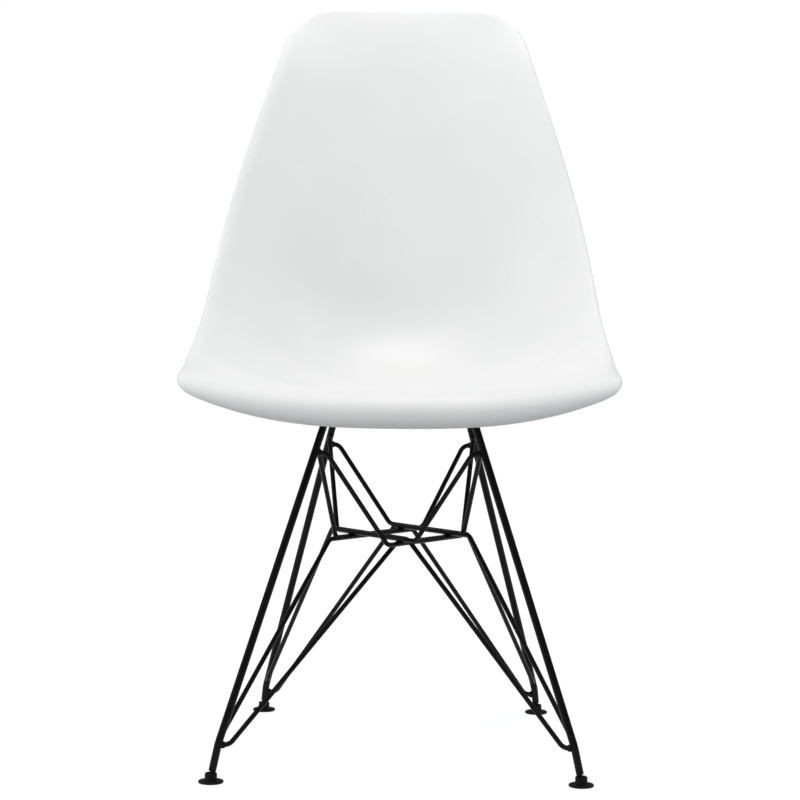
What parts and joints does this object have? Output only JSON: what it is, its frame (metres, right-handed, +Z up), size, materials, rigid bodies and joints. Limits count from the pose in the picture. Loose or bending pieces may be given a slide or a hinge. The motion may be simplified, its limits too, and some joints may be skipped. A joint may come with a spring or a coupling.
{
  "type": "moulded plastic shell chair",
  "caption": "One-piece moulded plastic seat shell with a high back, on a base of bent steel rods and crossed brace wires with swivel foot glides.",
  "frame": {"origin": "on the floor, under the middle of the overall width and depth", "axes": "+Z up, the sitter faces -Y, +X is to the right as seen by a person who faces the chair"},
  "size_m": [0.458, 0.5084, 0.832],
  "materials": {
    "shell_plastic": "satin moulded polypropylene",
    "coated_steel": "satin black powder coat",
    "zinc_plated_steel": "bright zinc plate",
    "brass": "turned",
    "pad_rubber": "matt",
    "glide_plastic": "matt moulded nylon"
  },
  "bodies": {
    "root": {"front_cross_rod": "coated_steel", "front_left_ball_stud": "coated_steel", "front_left_mounting_pad": "pad_rubber", "front_left_mounting_plate": "coated_steel", "front_right_ball_stud": "coated_steel", "front_right_mounting_pad": "pad_rubber", "front_right_mounting_plate": "coated_steel", "left_leg_rod": "coated_steel", "left_leg_welds": "coated_steel", "lower_brace_front_left": "coated_steel", "lower_brace_front_right": "coated_steel", "lower_brace_rear_left": "coated_steel", "lower_brace_rear_right": "coated_steel", "mount_bolts": "zinc_plated_steel", "rail_welds": "coated_steel", "rear_cross_rod": "coated_steel", "rear_left_ball_stud": "coated_steel", "rear_left_mounting_pad": "pad_rubber", "rear_left_mounting_plate": "coated_steel", "rear_right_ball_stud": "coated_steel", "rear_right_mounting_pad": "pad_rubber", "rear_right_mounting_plate": "coated_steel", "right_leg_rod": "coated_steel", "right_leg_welds": "coated_steel", "seat_shell": "shell_plastic", "threaded_inserts": "brass", "upper_brace_front_left": "coated_steel", "upper_brace_front_right": "coated_steel", "upper_brace_rear_left": "coated_steel", "upper_brace_rear_right": "coated_steel", "washers": "zinc_plated_steel"},
    "front_left_foot": {"front_left_glide": "glide_plastic"},
    "front_right_foot": {"front_right_glide": "glide_plastic"},
    "rear_left_foot": {"rear_left_glide": "glide_plastic"},
    "rear_right_foot": {"rear_right_glide": "glide_plastic"}
  },
  "joints": [
    {"name": "front_left_glide_tilt", "type": "hinge", "parent": "root", "child": "front_left_foot", "pos_m": [-0.19, -0.21831, 0.0062], "axis": [-0.2688, 0.9632, 0], "range_deg": [-6, 6]},
    {"name": "front_right_glide_tilt", "type": "hinge", "parent": "root", "child": "front_right_foot", "pos_m": [0.19, -0.21831, 0.0062], "axis": [-0.2688, -0.9632, 0], "range_deg": [-6, 6]},
    {"name": "rear_left_glide_tilt", "type": "hinge", "parent": "root", "child": "rear_left_foot", "pos_m": [-0.1614, 0.18169, 0.0062], "axis": [0.5145, 0.8575, 0], "range_deg": [-6, 6]},
    {"name": "rear_right_glide_tilt", "type": "hinge", "parent": "root", "child": "rear_right_foot", "pos_m": [0.1614, 0.18169, 0.0062], "axis": [0.5145, -0.8575, 0], "range_deg": [-6, 6]}
  ]
}
